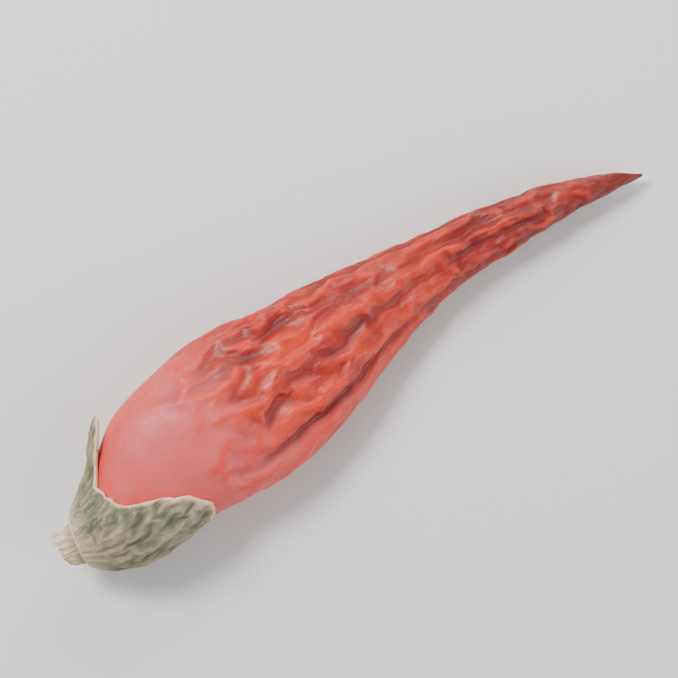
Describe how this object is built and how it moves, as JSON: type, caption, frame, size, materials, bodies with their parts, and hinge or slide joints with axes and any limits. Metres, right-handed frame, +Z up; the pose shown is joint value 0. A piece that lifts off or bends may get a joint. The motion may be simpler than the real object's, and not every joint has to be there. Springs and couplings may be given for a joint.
{
  "type": "dried chilli pepper",
  "caption": "Whole dried red chilli lying on its side: a flattened, creased pod that tapers to a tip, held in a toothed calyx with its stem broken off short.",
  "frame": {"origin": "bottom centre of the whole pepper, on the surface that it lies on", "axes": "+X along the pod from the stem to the tip, +Z up; seen from above, the pod bows towards +Y and its tip hooks towards -Y"},
  "size_m": [0.0602, 0.014, 0.0081],
  "materials": {
    "skin": "thin dried chilli skin, glossy and translucent, wrinkled along the pod",
    "calyx": "dried leaf, matt grey-green with pale cream rim",
    "stem": "dry plant stem, matt cream, torn at its end"
  },
  "bodies": {
    "root": {"pod": "skin", "calyx": "calyx", "stem": "stem"}
  },
  "joints": []
}
